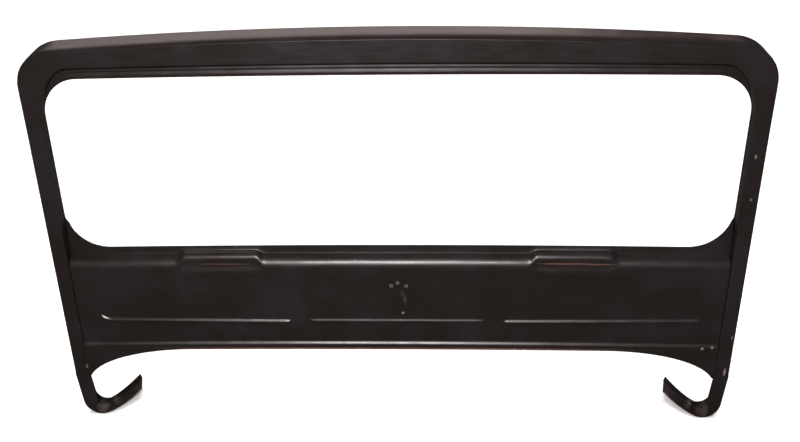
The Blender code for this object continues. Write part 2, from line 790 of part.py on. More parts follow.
def main():
    """Build the frame."""
    clear_scene()
    skin_look = ((0.012, 0.011, 0.011), 0.38, 0.0)
    inside_look = ((0.016, 0.015, 0.014), 0.50, 0.0)
    plate_look = ((0.020, 0.019, 0.018), 0.50, 0.0)
    nut_look = ((0.180, 0.170, 0.150), 0.45, 0.8)
    build_hoop(skin_look)
    build_lower_panels(skin_look)
    build_feet(skin_look)
    build_channels(inside_look)
    build_corner_plates(inside_look)
    build_hardware(plate_look, nut_look)
    centre_everything()


main()
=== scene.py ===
"""Pressed skins and finishes of a small off-road vehicle's windshield frame, built around its CAD frame.

The skins and feet are modelled again with their fillets, beads, recesses and holes. The plates, channels and
weld nuts inside keep their CAD shape. Metres, X across the frame, cabin side toward -Y, Z up.
"""

import math

import bmesh
import bpy
from bpy.props import FloatProperty, FloatVectorProperty, PointerProperty
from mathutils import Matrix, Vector


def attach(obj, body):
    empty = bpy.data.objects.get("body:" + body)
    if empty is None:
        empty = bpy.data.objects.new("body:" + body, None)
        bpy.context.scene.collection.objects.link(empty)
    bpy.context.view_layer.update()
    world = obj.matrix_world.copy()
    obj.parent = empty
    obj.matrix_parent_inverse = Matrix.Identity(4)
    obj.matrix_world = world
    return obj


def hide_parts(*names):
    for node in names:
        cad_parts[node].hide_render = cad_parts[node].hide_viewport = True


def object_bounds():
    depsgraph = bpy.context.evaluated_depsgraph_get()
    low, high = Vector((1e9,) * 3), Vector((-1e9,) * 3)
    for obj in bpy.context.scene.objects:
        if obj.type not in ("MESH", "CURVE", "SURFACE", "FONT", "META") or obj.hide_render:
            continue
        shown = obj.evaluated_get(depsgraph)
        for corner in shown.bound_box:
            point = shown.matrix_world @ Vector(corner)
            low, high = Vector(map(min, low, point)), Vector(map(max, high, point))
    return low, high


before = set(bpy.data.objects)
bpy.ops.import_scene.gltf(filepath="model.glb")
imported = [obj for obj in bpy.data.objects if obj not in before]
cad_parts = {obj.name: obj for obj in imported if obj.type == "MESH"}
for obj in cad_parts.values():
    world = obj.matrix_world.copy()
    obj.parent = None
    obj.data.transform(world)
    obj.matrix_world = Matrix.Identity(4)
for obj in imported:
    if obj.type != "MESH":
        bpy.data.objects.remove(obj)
CAD_LOW, CAD_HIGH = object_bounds()

bl_info = {
    "name": "Windshield Frame",
    "version": (1, 0, 0),
    "blender": (4, 5, 0),
    "location": "View3D > Sidebar > Windshield Frame",
    "description": "Models and finishes the pressed skins of a windshield frame",
    "category": "Object",
}

# Sizes shared with the CAD frame. Heights and depths are from the cabin face and the middle of the frame.
SKIN = 0.0012
FOOT_GAUGE = 0.0020
GAP = 0.0003
HALF_WIDTH = 0.7395
SIDE_TAPER = math.tan(math.radians(1.0))
TOP_HEIGHT = 0.3960
TOP_CROWN = 0.0512
OUTER_RADIUS = 0.085
PILLAR_WIDTH = 0.0370
WINDOW_TOP = 0.3047
WINDOW_TOP_CROWN = 0.0123
WINDOW_BOTTOM = -0.0664
WINDOW_BOTTOM_CROWN = 0.0114
WINDOW_TOP_RADIUS = 0.075
WINDOW_BOTTOM_RADIUS = 0.085
FLANGE_DEPTH = 0.0220
FRAME_DEPTH = 0.0455
PILLAR_TOP = 0.200
PILLAR_BOTTOM = -0.378
LIP_END = 0.0
LIP_FADE = 0.030
BARE_EDGE_INSET = 0.0026
SHELF_DROP = 0.0165
SHELF_DEPTH = 0.0198
CREASE = -0.0960
CREASE_CROWN = 0.0107
RIB_CENTRE = -0.2393
RIB_INNER = -0.2415
RIB_OUTER = -0.2378
RIB_HALF_HEIGHT = 0.0055
RIB_FLARE = 0.0085
RIB_FLARE_START = 0.637
RIB_FLARE_RUN = 0.016
CENTRE_RIB_SHARE = 0.6
SIDE_RIB_START = 0.2385
SIDE_RIB_END = 0.6470
CENTRE_RIB_END = 0.1850
RIB_END_TAPER = 0.010
STEP = -0.2919
STEP_CROWN = 0.0115
STEP_RISE = 0.0045
STEP_FOOT = 0.0064
LOWER_EDGE = -0.3076
LOWER_EDGE_CROWN = 0.0100
ARCH_START = 0.460
ARCH_RUN = 0.245
ARCH_DROP = 0.085
WEB_RISE = 0.0125
SIDE_STRIP = 0.0016
SEAM = 0.0006
PILLAR_RETURN_SHARE = 0.28
PANEL_LAP = 0.0350
SIDE_RETURN = 0.0060
SIDE_RETURN_DEPTH = 0.0200
SIDE_RETURN_EDGE = 0.0003
SIDE_RETURN_INSET = 0.0004
DEFROSTER_START = 0.299
DEFROSTER_END = 0.451
DEFROSTER_TAPER = 0.020
DEFROSTER_SHELF_DROP = 0.0088
DEFROSTER_RADIUS = 0.016
LEDGE_BOTTOM = 0.0240
FIELD_MARGIN = 0.0040
LID_TOP = -0.1500
LID_MIDDLE = -0.2000
FOOT_BEND_X = 0.685
FOOT_BEND_Z = -0.448
FOOT_BEND_RADIUS = 0.040
FOOT_FACE = 0.0345
FOOT_LIP = 0.0040
FOOT_LIP_ROOT = 0.0039
FOOT_FLANGE = 0.0140
FOOT_ARM = 0.066
FOOT_ARM_RISE = math.radians(17.0)
FOOT_FORWARD = 0.070
FOOT_SKEW = 0.012
FOOT_CORNER = 0.0035
FOOT_LEAN = math.radians(4.0)
FOOT_CURL_START = math.radians(15.0)
FOOT_CURL_RUN = math.radians(70.0)
SCREW_HOLES = ((-0.0112, -0.1524), (0.0030, -0.1451), (0.0210, -0.1523))
SCREW_RADIUS = 0.0022
HINGE_BOLTS = tuple((side * 0.648, z) for side in (-1.0, 1.0) for z in (-0.205, -0.275))
HINGE_BOLT_RADIUS = 0.0045

# Pressed profiles. Below a recess: reach under the bend where there is no recess, reach under the crease in
# one, and share of the recess depth. Across half a rib: reach in half heights, and share of the rise. Down
# the step: height about its middle, and share of the rise.
LEDGE_PROFILE = (
    (0.0015, 0.0030, 1.0),
    (0.0030, 0.0060, 1.0),
    (0.0042, 0.0105, 0.84),
    (0.0054, 0.0150, 0.50),
    (0.0066, 0.0195, 0.16),
)
RIB_PROFILE = ((1.3, 0.0), (0.9, 0.20), (0.45, 0.74))
STEP_PROFILE = (
    (0.0075, 0.0),
    (0.0048, 0.02),
    (0.0026, 0.12),
    (0.0, 0.50),
    (-0.0026, 0.88),
    (-0.0046, 0.98),
    (-STEP_FOOT, 1.0),
)

# Steps in which curves are drawn
CORNER_STEPS = 18
HALF_HEADER_STEPS = 14
CREASE_STEPS = 8
FOOT_LEG_STEPS = 5
FOOT_BEND_STEPS = 18
FOOT_ARM_STEPS = 9
DRILL_SIDES = 40
DRILL_LENGTH = 0.30
SHARP_ANGLE = math.radians(40.0)

# Scuffs and rust: how ragged their edges are, where the edges start and where they are at full strength
RAGGEDNESS = 1.3
PATCH_EDGE = 1.75
PATCH_FULL = 1.25
RUST_ROUGHNESS = 0.75

# Stage, in metres, degrees and millimetres of lens
FLOOR_HALF_SIZE = 15.0
SUN_ANGLE = math.radians(50.0)
FRONT_BOX_PLACE = (-0.12, -2.15, 1.25)
FRONT_BOX_SIZE = (0.65, 0.22)
FRONT_BOX_COLOUR = (1.0, 0.93, 0.94)
BACK_BOX_PLACE = (-0.60, 1.85, 2.40)
BACK_BOX_SIZE = (3.30, 1.30)
BACK_BOX_COLOUR = (1.0, 0.86, 0.84)
CAMERA_PLACE = (0.0814, -1.8433, 0.8426)
CAMERA_TURN = (65.997, 0.8735, 1.8842)
SENSOR_WIDTH = 36.0
FOCAL_LENGTH = 42.48

# The CAD frame is centred on its box; this moves the sizes above onto it.
SHIFT = Vector((0.0, CAD_LOW.y + STEP_RISE, CAD_HIGH.z - TOP_HEIGHT))


def linear(hex_colour):
    """Turn an sRGB hex colour into linear red, green and blue."""
    values = [int(hex_colour[i : i + 2], 16) / 255.0 for i in (0, 2, 4)]
    return tuple(v / 12.92 if v <= 0.04045 else ((v + 0.055) / 1.055) ** 2.4 for v in values)


def smooth_step(value):
    """Ease from 0 to 1 as value goes from 0 to 1."""
    value = min(max(value, 0.0), 1.0)
    return value * value * (3.0 - 2.0 * value)


def mix(first, second, amount):
    """Blend two numbers."""
    return first + (second - first) * amount


def spread(first, last, count):
    """Evenly spaced numbers, both ends included."""
    return [mix(first, last, i / (count - 1)) for i in range(count)]


def plateau(value, start, end, taper):
    """1 between start and end, easing to 0 over the taper outside them."""
    rise = smooth_step((value - start + taper) / taper)
    fall = smooth_step((end + taper - value) / taper)
    return rise * fall


# Sizes and colours that a user may change


class PressedShape(bpy.types.PropertyGroup):
    """Depths of the pressed features on the lower panel."""

    crease_radius: FloatProperty(
        name="Crease radius",
        description="Outside radius of the fold under the window",
        default=0.028,
        unit="LENGTH",
    )
    rib_rise: FloatProperty(
        name="Rib rise",
        description="How far the stiffening ribs stand off the panel",
        default=0.0034,
        unit="LENGTH",
    )
    field_depth: FloatProperty(
        name="Field depth",
        description="How far the fields above the ribs are set back",
        default=0.0007,
        unit="LENGTH",
    )
    recess_lift: FloatProperty(
        name="Recess lift",
        description="How far the crease steps up at a defroster recess",
        default=0.0148,
        unit="LENGTH",
    )
    recess_depth: FloatProperty(
        name="Recess depth",
        description="How far a defroster recess is set back",
        default=0.0035,
        unit="LENGTH",
    )


class CoatLook(bpy.types.PropertyGroup):
    """Colours and gloss of the black electro-coat and of what shows through it."""

    coat: FloatVectorProperty(
        name="Coat",
        description="Black electro-coat",
        default=linear("15100C"),
        subtype="COLOR",
        min=0.0,
        max=1.0,
    )
    coat_tint: FloatVectorProperty(
        name="Coat tint",
        description="Thin, browner coat",
        default=linear("1A1416"),
        subtype="COLOR",
        min=0.0,
        max=1.0,
    )
    dust: FloatVectorProperty(
        name="Dust",
        description="Handling dust on upper faces",
        default=linear("75645F"),
        subtype="COLOR",
        min=0.0,
        max=1.0,
    )
    rust: FloatVectorProperty(
        name="Rust",
        description="Rust where the coat is thin",
        default=linear("6B4336"),
        subtype="COLOR",
        min=0.0,
        max=1.0,
    )
    bare_metal: FloatVectorProperty(
        name="Bare metal",
        description="Steel rubbed through the coat",
        default=linear("A79C98"),
        subtype="COLOR",
        min=0.0,
        max=1.0,
    )
    roughness: FloatProperty(
        name="Roughness",
        description="Roughness of the clean coat",
        default=0.33,
        min=0.0,
        max=1.0,
        subtype="FACTOR",
    )


class StageLook(bpy.types.PropertyGroup):
    """Floor colour and the powers of the studio lights."""

    floor: FloatVectorProperty(
        name="Floor",
        description="Pale studio floor",
        default=linear("FAF9F7"),
        subtype="COLOR",
        min=0.0,
        max=1.0,
    )
    front_light: FloatProperty(
        name="Front light",
        description="Compact soft box above the camera",
        default=74.0,
        min=0.0,
        unit="POWER",
    )
    back_light: FloatProperty(
        name="Back light",
        description="Wide soft box above and behind the frame",
        default=29.0,
        min=0.0,
        unit="POWER",
    )
    floor_light: FloatProperty(
        name="Floor light", description="Broad light that keeps the floor white", default=4.0, min=0.0
    )
    surround: FloatProperty(
        name="Surround", description="Brightness of the room round the stage", default=0.057, min=0.0
    )


# Mesh helpers


def shaped_sheet(columns, flip):
    """A flat grid bent so that each of its columns follows one list of points."""
    form = bmesh.new()
    across = len(columns) - 1
    down = len(columns[0]) - 1
    bmesh.ops.create_grid(form, x_segments=across, y_segments=down, size=1.0)
    for vertex in form.verts:
        column = columns[round((vertex.co.x + 1.0) * 0.5 * across)]
        vertex.co = column[round((vertex.co.y + 1.0) * 0.5 * down)]
    if flip:
        bmesh.ops.reverse_faces(form, faces=form.faces[:])
    return form


def add_piece(name, form, material, nodes=(), gauge=0.0, holes=(), hole_radius=0.0):
    """Make a finished piece from a bmesh: smoothed, given its sheet gauge, drilled, riding on the frame."""
    bmesh.ops.translate(form, verts=form.verts[:], vec=SHIFT)
    piece = add_mesh_object(name, form)
    piece.data.shade_smooth()
    piece.data.materials.append(material)
    if gauge:
        soften = piece.modifiers.new("pressed_radii", "SUBSURF")
        soften.levels = 1
        soften.render_levels = 1
        soften.boundary_smooth = "PRESERVE_CORNERS"
        wall = piece.modifiers.new("sheet_gauge", "SOLIDIFY")
        wall.thickness = gauge
        wall.offset = -1.0
        wall.use_even_offset = True
        drill = add_drill(holes, hole_radius)
        if holes:
            cut = piece.modifiers.new("holes", "BOOLEAN")
            cut.solver = "EXACT"
            cut.object = drill
        settle(piece)
        bpy.data.meshes.remove(drill.data)
    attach(piece, "root")
    if nodes:
        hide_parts(*nodes)
    return piece


def add_mesh_object(name, form):
    """Turn a bmesh into a linked object."""
    mesh = bpy.data.meshes.new(name)
    form.to_mesh(mesh)
    form.free()
    item = bpy.data.objects.new(name, mesh)
    bpy.context.scene.collection.objects.link(item)
    return item


def add_drill(holes, radius):
    """Round cutters along Y at the places of the holes."""
    form = bmesh.new()
    for x, z in holes:
        made = bmesh.ops.create_cone(
            form, cap_ends=True, segments=DRILL_SIDES, radius1=radius, radius2=radius, depth=DRILL_LENGTH
        )
        bmesh.ops.rotate(form, verts=made["verts"], cent=(0.0, 0.0, 0.0), matrix=QUARTER_TURN)
        bmesh.ops.translate(form, verts=made["verts"], vec=Vector((x, 0.0, z)) + SHIFT)
    return add_mesh_object("drill", form)


def settle(piece):
    """Keep a piece's modified shape as its own mesh, sharp where it turns by more than the sharp angle."""
    graph = bpy.context.evaluated_depsgraph_get()
    shaped = bpy.data.meshes.new_from_object(piece.evaluated_get(graph))
    piece.modifiers.clear()
    piece.data = shaped
    shaped.name = piece.name
    shaped.set_sharp_from_angle(angle=SHARP_ANGLE)


QUARTER_TURN = Vector((0.0, 0.0, 1.0)).rotation_difference(Vector((0.0, 1.0, 0.0))).to_matrix()


def mirrored(columns):
    """The same columns of points on the left side."""
    return [[Vector((-p.x, p.y, p.z)) for p in column] for column in columns]


# Outline of the hoop


def outer_side(z):
    """Half width of the frame at a height."""
    return HALF_WIDTH + SIDE_TAPER * z


def header_top(x):
    """Height of the frame's top edge."""
    return TOP_HEIGHT - TOP_CROWN * x * x


def window_top(x):
    """Height of the top of the window opening."""
    return WINDOW_TOP - WINDOW_TOP_CROWN * x * x


def hoop_corner():
    """Centres of the outer and window corner arcs, at the top."""
    corner_height = header_top(HALF_WIDTH - OUTER_RADIUS) - OUTER_RADIUS
    outer_x = outer_side(corner_height) - OUTER_RADIUS
    outer_z = header_top(outer_x) - OUTER_RADIUS
    inner_x = outer_side(WINDOW_TOP - WINDOW_TOP_RADIUS) - PILLAR_WIDTH - WINDOW_TOP_RADIUS
    inner_z = window_top(inner_x) - WINDOW_TOP_RADIUS
    return (outer_x, outer_z), (inner_x, inner_z)


def header_path():
    """Outer point, window point and header share, from the right split over the top to the left split."""
    (outer_x, outer_z), (inner_x, inner_z) = hoop_corner()
    side = outer_side(PILLAR_TOP)
    path = [((side, PILLAR_TOP), (side - PILLAR_WIDTH, PILLAR_TOP), 0.0)]
    for i in range(CORNER_STEPS + 1):
        turn = math.radians(90.0 * i / CORNER_STEPS)
        outer = (outer_x + OUTER_RADIUS * math.cos(turn), outer_z + OUTER_RADIUS * math.sin(turn))
        inner = (
            inner_x + WINDOW_TOP_RADIUS * math.cos(turn),
            inner_z + WINDOW_TOP_RADIUS * math.sin(turn),
        )
        # The pillar's section becomes the header's over the last five sixths of the corner
        path.append((outer, inner, smooth_step((6.0 * i / CORNER_STEPS - 1.0) / 5.0)))
    for share in spread(1.0, 0.0, HALF_HEADER_STEPS + 1)[1:]:
        outer = (outer_x * share, header_top(outer_x * share))
        inner = (inner_x * share, window_top(inner_x * share))
        path.append((outer, inner, 1.0))
    left = [((-o[0], o[1]), (-i[0], i[1]), h) for o, i, h in reversed(path[:-1])]
    return path + left


def pillar_path():
    """Outer point, window point and header share down the right pillar, closer where the lip fades."""
    heights = spread(PILLAR_TOP, 0.02, 8)
    heights += spread(LIP_END, LIP_END - LIP_FADE, 5)
    heights += spread(-0.06, PILLAR_BOTTOM, 12)
    return [((outer_side(z), z), (outer_side(z) - PILLAR_WIDTH, z), 0.0) for z in heights]


def lip_amount(z):
    """1 where the pillar carries the window lip, 0 below the window."""
    return smooth_step((z - LIP_END + LIP_FADE) / LIP_FADE)


def section_points(outer, inner, stations):
    """Place (reach from the outer edge, reach from the window, depth) stations across one section."""
    start = Vector((outer[0], 0.0, outer[1]))
    across = Vector((inner[0], 0.0, inner[1])) - start
    width = across.length
    across.normalize()
    points = []
    for near, from_window, depth in stations:
        reach = width - from_window if near is None else near
        points.append(start + across * reach + Vector((0.0, depth, 0.0)))
    return points


def cabin_stations(header, lip):
    """Cabin-side section: top or side wall, face, return, and glass flange with its pressed groove.

    Each row below holds the reach on a pillar, the reach on the header, and the two depths. A pillar uses
    only a share of its reach from the window, because its return is nearly square to the face.
    """
    end = mix(BARE_EDGE_INSET, 0.0, lip)
    near = [
        (0.0, 0.0, FRAME_DEPTH - SKIN - GAP, FRAME_DEPTH - SKIN - GAP),
        (0.00003, 0.0012, 0.0400, 0.0400),
        (0.0001, 0.0042, 0.0245, 0.0280),
        (0.0001, 0.0066, 0.0160, 0.0180),
        (0.0002, 0.0088, 0.0100, 0.0110),
        (0.0004, 0.0112, 0.0062, 0.0062),
        (0.0010, 0.0136, 0.0032, 0.0030),
        (0.0022, 0.0158, 0.0013, 0.0006),
        (0.0040, 0.0163, 0.0003, 0.0),
        (0.0058, 0.0165, 0.0, 0.0),
        (0.0085, 0.0200, 0.0, 0.0),
    ]
    far = [
        (0.0160, 0.0480, 0.0, 0.0),
        (0.0078, 0.0330, 0.0, 0.0),
        (0.0060, 0.0306, 0.0001, 0.0),
        (0.0050, 0.0296, 0.0004, 0.0001),
        (0.0042, 0.0288, 0.0011, 0.0005),
        (0.0036, 0.0284, 0.0022, 0.0014),
        (0.0033, 0.0282, 0.0050, 0.0080),
        (0.0032, 0.0280, 0.0085, 0.0150),
        (0.0031, 0.0279, 0.0120, 0.0190),
        (0.0030, 0.0274, 0.0145, 0.0208),
        (0.0030, 0.0262, 0.0160, 0.0216),
        (0.0029, 0.0245, 0.0172, 0.0215),
        (0.0029, 0.0165, 0.0182, 0.0199),
        (0.0028, 0.0154, 0.0190, 0.0200),
        (0.0028, 0.0146, 0.0196, 0.0207),
        (0.0027, 0.0138, 0.0201, 0.0206),
        (0.0027, 0.0062, 0.0205, 0.0190),
        (0.0026, 0.0050, 0.0208, 0.0191),
        (0.0026, 0.0034, 0.0211, 0.0202),
        (end + 0.0006 * (1.0 - lip), 0.0012, 0.0216, 0.0216),
        (end, 0.0, FLANGE_DEPTH, FLANGE_DEPTH),
    ]
    stations = []
    for pillar_reach, header_reach, pillar_depth, header_depth in near:
        reach = mix(pillar_reach, header_reach, header)
        stations.append((reach, None, mix(pillar_depth, header_depth, header)))
    for pillar_reach, header_reach, pillar_depth, header_depth in far:
        pillar_reach = mix(end, pillar_reach, PILLAR_RETURN_SHARE)
        reach = mix(pillar_reach, header_reach, header)
        stations.append((None, reach, mix(pillar_depth, header_depth, header)))
    return stations


def forward_stations(header, lip):
    """Forward-side section: flat lid, chamfer and glass flange.

    Each row below holds the reach from the outer edge or from the window, and the depth.
    """
    flange = mix(FRAME_DEPTH, FLANGE_DEPTH + 2.0 * SKIN + GAP, lip)
    return [
        (0.0002, None, FRAME_DEPTH),
        (0.0060, None, FRAME_DEPTH),
        (None, mix(0.0240, 0.0450, header), FRAME_DEPTH),
        (None, mix(0.0220, 0.0415, header), FRAME_DEPTH),
        (None, mix(0.0195, 0.0380, header), mix(FRAME_DEPTH, FRAME_DEPTH - 0.0016, lip)),
        (None, mix(0.0140, 0.0250, header), mix(FRAME_DEPTH, mix(flange, FRAME_DEPTH, 0.53), lip)),
        (None, mix(0.0085, 0.0120, header), mix(FRAME_DEPTH, flange + 0.0018, lip)),
        (None, mix(0.0072, 0.0100, header), mix(FRAME_DEPTH, flange + 0.0004, lip)),
        (None, mix(0.0062, 0.0080, header), flange),
        (None, 0.0, flange),
    ]


# Outline of the lower panel


def panel_side(z):
    """Half width of the lower panel, just inside the pillar wall."""
    return outer_side(z) - mix(PANEL_LAP, PILLAR_WIDTH + SEAM, lip_amount(z))


def forward_panel_side(z):
    """Half width of the forward-side panel."""
    return outer_side(z) - PILLAR_WIDTH - SEAM


def window_corner():
    """Distance from the middle to where the window's lower corners begin."""
    return outer_side(0.0) - PILLAR_WIDTH - WINDOW_BOTTOM_RADIUS


def window_sill(x):
    """Height of the window's lower edge, without its rounded corners."""
    return WINDOW_BOTTOM - WINDOW_BOTTOM_CROWN * min(abs(x), window_corner()) ** 2


def window_bottom(x):
    """Height of the window's lower edge, with its rounded corners."""
    across = min(max(abs(x) - window_corner(), 0.0), WINDOW_BOTTOM_RADIUS)
    return window_sill(x) + WINDOW_BOTTOM_RADIUS - math.sqrt(WINDOW_BOTTOM_RADIUS**2 - across**2)


def panel_bottom(x):
    """Height of the panel's lower edge, with the arch down to each foot."""
    x = abs(x)
    edge = LOWER_EDGE - LOWER_EDGE_CROWN * x * x
    along = min(max((x - ARCH_START) / ARCH_RUN, 0.0), 1.0)
    return edge - ARCH_DROP * (1.0 - math.sqrt(1.0 - along * along))


def panel_shares():
    """Fractions of the panel's half width, closer together at features and at the corners."""
    half = panel_side(0.0)
    marks = [0.0, 0.03, 0.06, 0.09, 0.12, 0.15, 0.172]
    marks += spread(CENTRE_RIB_END, CENTRE_RIB_END + RIB_END_TAPER, 4)
    marks += [0.205, 0.2175]
    marks += spread(SIDE_RIB_START - RIB_END_TAPER, SIDE_RIB_START, 4)
    marks += [0.250, 0.262]
    marks += spread(DEFROSTER_START - DEFROSTER_TAPER, DEFROSTER_START, 7)
    marks += [0.310, 0.340, 0.376, 0.410, 0.440]
    marks += spread(DEFROSTER_END, DEFROSTER_END + DEFROSTER_TAPER, 7)
    marks += [0.486, 0.500, 0.515, 0.533, 0.550, 0.565, 0.580, 0.5925, 0.605, 0.615, 0.625, 0.636]
    marks += spread(SIDE_RIB_END, SIDE_RIB_END + RIB_END_TAPER, 4)
    marks += [0.6625, 0.668, 0.6725, 0.677, 0.681, 0.685, 0.688, 0.691, 0.6935, 0.696]
    marks += [half - SIDE_STRIP, half]
    right = [mark / half for mark in marks]
    return [-share for share in reversed(right[1:])] + right


def panel_place(share):
    """Where a column samples the panel's outline: the last strip at each side runs straight."""
    half = panel_side(0.0)
    return math.copysign(min(abs(share) * half, half - SIDE_STRIP), share)


def cabin_panel_column(x, shape):
    """(height, depth) points down the cabin-side panel at one place across it."""
    across = abs(x)
    top = window_bottom(x)
    recess = plateau(across, DEFROSTER_START, DEFROSTER_END, DEFROSTER_TAPER)
    back = shape.recess_depth * recess
    crease = CREASE - CREASE_CROWN * x * x
    corner = crease + shape.recess_lift * recess
    shelf = window_sill(x) - mix(SHELF_DROP, DEFROSTER_SHELF_DROP, recess)
    slope = math.atan2(SHELF_DEPTH - back, shelf - corner)
    radius = mix(shape.crease_radius, DEFROSTER_RADIUS, recess)
    centre = corner - radius * math.tan(0.5 * slope)
    # Glass flange, and the bend from it onto the shelf
    points = [
        (top, FLANGE_DEPTH),
        (top - 0.0020, FLANGE_DEPTH - 0.0001),
        (mix(top, shelf, 0.45), mix(FLANGE_DEPTH, SHELF_DEPTH, 0.3)),
        (mix(top, shelf, 0.80), mix(FLANGE_DEPTH, SHELF_DEPTH, 0.6)),
        (shelf + 0.0002, mix(FLANGE_DEPTH, SHELF_DEPTH, 0.98)),
        (shelf, SHELF_DEPTH),
        (shelf - 0.00015, SHELF_DEPTH - 0.0002),
    ]
    for share in spread(1.0, 0.0, CREASE_STEPS + 1):
        turn = slope * share
        points.append((centre + radius * math.sin(turn), back + radius * (1.0 - math.cos(turn))))
    rib = RIB_CENTRE
    if across > 0.5 * (CENTRE_RIB_END + SIDE_RIB_START):
        rib = mix(RIB_INNER, RIB_OUTER, (across / SIDE_RIB_END) ** 2)
    if x < 0.0:
        rib += RIB_FLARE * smooth_step((across - RIB_FLARE_START) / RIB_FLARE_RUN)
    side_rib = plateau(across, SIDE_RIB_START, SIDE_RIB_END, RIB_END_TAPER)
    centre_rib = plateau(across, 0.0, CENTRE_RIB_END, RIB_END_TAPER)
    rise = shape.rib_rise * max(side_rib, CENTRE_RIB_SHARE * centre_rib)
    field = shape.field_depth * max(side_rib, centre_rib)
    step = STEP - STEP_CROWN * x * x
    bottom = panel_bottom(x)
    field_top = crease - LEDGE_BOTTOM - FIELD_MARGIN
    for plain, under_recess, share in LEDGE_PROFILE:
        points.append((mix(centre - plain, crease - under_recess, recess), share * back))
    points += [
        (crease - LEDGE_BOTTOM, 0.0),
        (field_top - 0.0020, 0.0),
        (field_top - 0.0060, field),
        (mix(field_top, rib, 0.35), field),
        (mix(field_top, rib, 0.65), field),
        (rib + 2.6 * RIB_HALF_HEIGHT, field),
    ]
    points += [(rib + reach * RIB_HALF_HEIGHT, mix(field, -rise, share)) for reach, share in RIB_PROFILE]
    points.append((rib, -rise))
    points += [(rib - reach * RIB_HALF_HEIGHT, -share * rise) for reach, share in reversed(RIB_PROFILE)]
    points.append((mix(rib, step, 0.55), 0.0))
    points += [(step + height, -share * STEP_RISE) for height, share in STEP_PROFILE]
    points += [(mix(step - STEP_FOOT, bottom, 0.6), -STEP_RISE), (bottom, -STEP_RISE)]
    return points


def forward_panel_column(x, _shape):
    """(height, depth) points down the forward-side panel: glass flange, chamfer, lid, web and seam flange."""
    top = window_bottom(x)
    bottom = panel_bottom(x)
    web = bottom + WEB_RISE
    flange = FLANGE_DEPTH + 2.0 * (SKIN + GAP)
    seam = 2.0 * SKIN + GAP - STEP_RISE
    return [
        (top, flange),
        (top - 0.0030, flange),
        (top - 0.0055, flange + 0.0002),
        (top - 0.0078, flange + 0.0014),
        (top - 0.0170, mix(flange, FRAME_DEPTH, 0.52)),
        (top - 0.0270, FRAME_DEPTH - 0.0014),
        (top - 0.0295, FRAME_DEPTH - 0.0002),
        (top - 0.0330, FRAME_DEPTH),
        (LID_TOP, FRAME_DEPTH),
        (LID_MIDDLE, FRAME_DEPTH),
        (mix(LID_MIDDLE, bottom, 0.5), FRAME_DEPTH),
        (web + 0.0085, FRAME_DEPTH),
        (web + 0.0045, FRAME_DEPTH - 0.0004),
        (web + 0.0014, FRAME_DEPTH - 0.0022),
        (web, FRAME_DEPTH - 0.0060),
        (web, mix(FRAME_DEPTH, seam, 0.5)),
        (web, seam + 0.0070),
        (web - 0.0008, seam + 0.0030),
        (web - 0.0032, seam + 0.0007),
        (web - 0.0065, seam),
        (bottom + 0.0020, seam),
        (bottom, seam),
    ]


def panel_columns(column_points, side_of, shape):
    """Columns of points across a lower panel."""
    columns = []
    for share in panel_shares():
        points = column_points(panel_place(share), shape)
        columns.append([Vector((share * side_of(z), depth, z)) for z, depth in points])
    return columns


def with_side_returns(columns):
    """Fold the side edges of the cabin-side panel back along the pillar walls."""
    folded = []
    for edge in (columns[0], columns[-1]):
        back = []
        for point in edge:
            depth = max(0.0, min(SIDE_RETURN, SIDE_RETURN_DEPTH - point.y))
            back.append(Vector((point.x, point.y + depth + SIDE_RETURN_EDGE, point.z)))
        folded.append(back)
    for edge in (columns[0], columns[-1]):
        for point in edge:
            point.x -= math.copysign(SIDE_RETURN_INSET, point.x)
    return [folded[0]] + columns + [folded[1]]


# Outline of the feet


def foot_stops():
    """Front edge of the right foot: place, turn of the curl, and share of the arm."""
    bend_end = math.radians(90.0) + FOOT_ARM_RISE
    leg_top = Vector((outer_side(PILLAR_BOTTOM), 0.0, PILLAR_BOTTOM))
    bend_top = Vector(
        (
            FOOT_BEND_X + FOOT_BEND_RADIUS * math.cos(FOOT_LEAN),
            0.0,
            FOOT_BEND_Z - FOOT_BEND_RADIUS * math.sin(FOOT_LEAN),
        )
    )
    stops = []
    for share in spread(0.0, 1.0, FOOT_LEG_STEPS + 1)[:-1]:
        stops.append((leg_top.lerp(bend_top, share), FOOT_LEAN * share, 0.0))
    for share in spread(0.0, 1.0, FOOT_BEND_STEPS + 1):
        turn = mix(FOOT_LEAN, bend_end, share)
        x = FOOT_BEND_X + FOOT_BEND_RADIUS * math.cos(turn)
        z = FOOT_BEND_Z - FOOT_BEND_RADIUS * math.sin(turn)
        stops.append((Vector((x, 0.0, z)), turn, 0.0))
    last = stops[-1][0]
    for share in spread(0.0, 1.0, FOOT_ARM_STEPS + 1)[1:]:
        reach = FOOT_ARM * share
        step = Vector((-math.cos(FOOT_ARM_RISE) * reach, 0.0, math.sin(FOOT_ARM_RISE) * reach))
        stops.append((last + step, bend_end, share))
    return stops


def foot_columns():
    """Sections round the right foot, from the leg to the tip."""
    columns = []
    for point, turn, arm in foot_stops():
        curl = smooth_step((turn - FOOT_CURL_START) / FOOT_CURL_RUN)
        face = mix(FOOT_FACE, FOOT_LIP, curl)
        inward = Vector((-math.cos(turn), 0.0, math.sin(turn)))
        front = point + Vector((0.0, FOOT_FORWARD * (0.75 * arm * arm + 0.25 * arm), 0.0))
        back = front + Vector((FOOT_SKEW * arm, FRAME_DEPTH, 0.0))
        side = (back - front).normalized()
        inset = inward * FOOT_CORNER
        along = side * FOOT_CORNER
        columns.append(
            [
                front + inward * face,
                front + inward * max(0.55 * face, FOOT_LIP_ROOT),
                front + inset,
                front + 0.30 * inset + 0.30 * along,
                front + along,
                front.lerp(back, 0.30),
                front.lerp(back, 0.70),
                back - along,
                back + 0.30 * inset - 0.30 * along,
                back + inset,
                back + inward * (0.6 * FOOT_FLANGE),
                back + inward * FOOT_FLANGE,
            ]
        )
    return columns


# Materials


